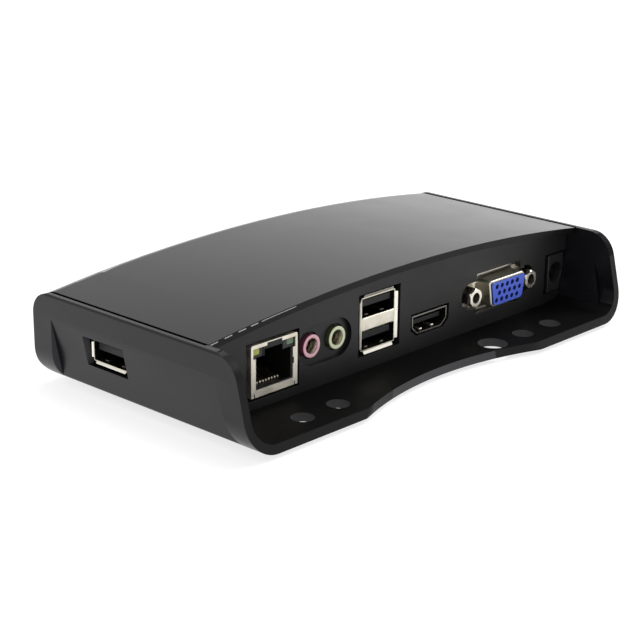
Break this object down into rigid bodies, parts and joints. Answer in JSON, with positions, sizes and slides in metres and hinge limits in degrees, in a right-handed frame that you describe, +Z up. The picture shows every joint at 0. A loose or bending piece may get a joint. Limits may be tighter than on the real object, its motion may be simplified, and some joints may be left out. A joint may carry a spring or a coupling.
{
  "type": "thin client",
  "caption": "Low desktop thin client with an arched cover, a recessed rear socket row over a mounting lip with a curved cut-out, a socket in one end and a sprung power button in front.",
  "frame": {"origin": "middle of the footprint, on the surface the feet stand on", "axes": "+Z up, +Y to the rear (the socket row), +X to the end with the single socket"},
  "size_m": [0.15, 0.079, 0.03],
  "materials": {
    "bezel_plastic": "semi-gloss black",
    "board_green": "solder mask",
    "button_plastic": "satin black",
    "can_aluminium": "bright",
    "chip_black": "matt",
    "chip_grey": "matt",
    "clear_plastic": "clear",
    "collar_lime": "satin",
    "collar_pink": "satin",
    "contact_gold": "gold flash",
    "cover_plastic": "satin black",
    "crystal_steel": "bright",
    "dark_plastic": "matt black",
    "dark_screw": "black oxide",
    "foot_rubber": "matt black",
    "insert_blue": "satin",
    "lamp_green": "unlit lamp",
    "lamp_yellow_green": "unlit lamp",
    "nut_nickel": "bright",
    "panel_plastic": "fine satin black",
    "pin_nickel": "bright",
    "shield_nickel": "satin nickel",
    "sink_aluminium": "satin",
    "sleeve_nickel": "bright",
    "thermal_grey": "matt",
    "tray_plastic": "semi-gloss black",
    "zinc_screw": "bright"
  },
  "bodies": {
    "case": {"analog_video_body": "dark_plastic", "analog_video_contacts": "contact_gold", "analog_video_insert": "insert_blue", "analog_video_nuts": "nut_nickel", "analog_video_shell": "shield_nickel", "audio_housings": "dark_plastic", "audio_sleeves": "sleeve_nickel", "board_screws": "zinc_screw", "capacitors": "can_aluminium", "case_screws": "dark_screw", "control_chips": "chip_black", "crystals": "crystal_steel", "digital_video_base": "dark_plastic", "digital_video_contacts": "contact_gold", "digital_video_shell": "shield_nickel", "digital_video_tongue": "dark_plastic", "flash_chip": "chip_black", "front_bezel": "bezel_plastic", "headphone_collar": "collar_lime", "heat_sink": "sink_aluminium", "inductors": "chip_grey", "lower_tray": "tray_plastic", "main_board": "board_green", "memory_chips": "chip_black", "mic_collar": "collar_pink", "network_contacts": "contact_gold", "network_data_led": "lamp_green", "network_housing": "dark_plastic", "network_link_led": "lamp_yellow_green", "network_shield": "shield_nickel", "network_transformer": "chip_black", "power_inlet_body": "dark_plastic", "power_inlet_pin": "pin_nickel", "power_inlet_spring": "pin_nickel", "processor": "chip_black", "rear_panel": "panel_plastic", "rubber_feet": "foot_rubber", "side_port_base": "dark_plastic", "side_port_contacts": "contact_gold", "side_port_shell": "shield_nickel", "side_port_tongue": "dark_plastic", "status_led": "dark_plastic", "status_light_pipe": "clear_plastic", "switch_body": "dark_plastic", "thermal_pad": "thermal_grey", "top_cover": "cover_plastic", "twin_port_contacts": "contact_gold", "twin_port_shell": "shield_nickel", "twin_port_tongues": "dark_plastic"},
    "button": {"power_button": "button_plastic", "switch_plunger": "button_plastic"}
  },
  "joints": [
    {"name": "power_button_push", "type": "slide", "parent": "case", "child": "button", "axis": [0, 1, 0], "range_m": [0, 0.0005], "stiffness_N_per_m": 1500, "springref_m": -0.0003}
  ]
}
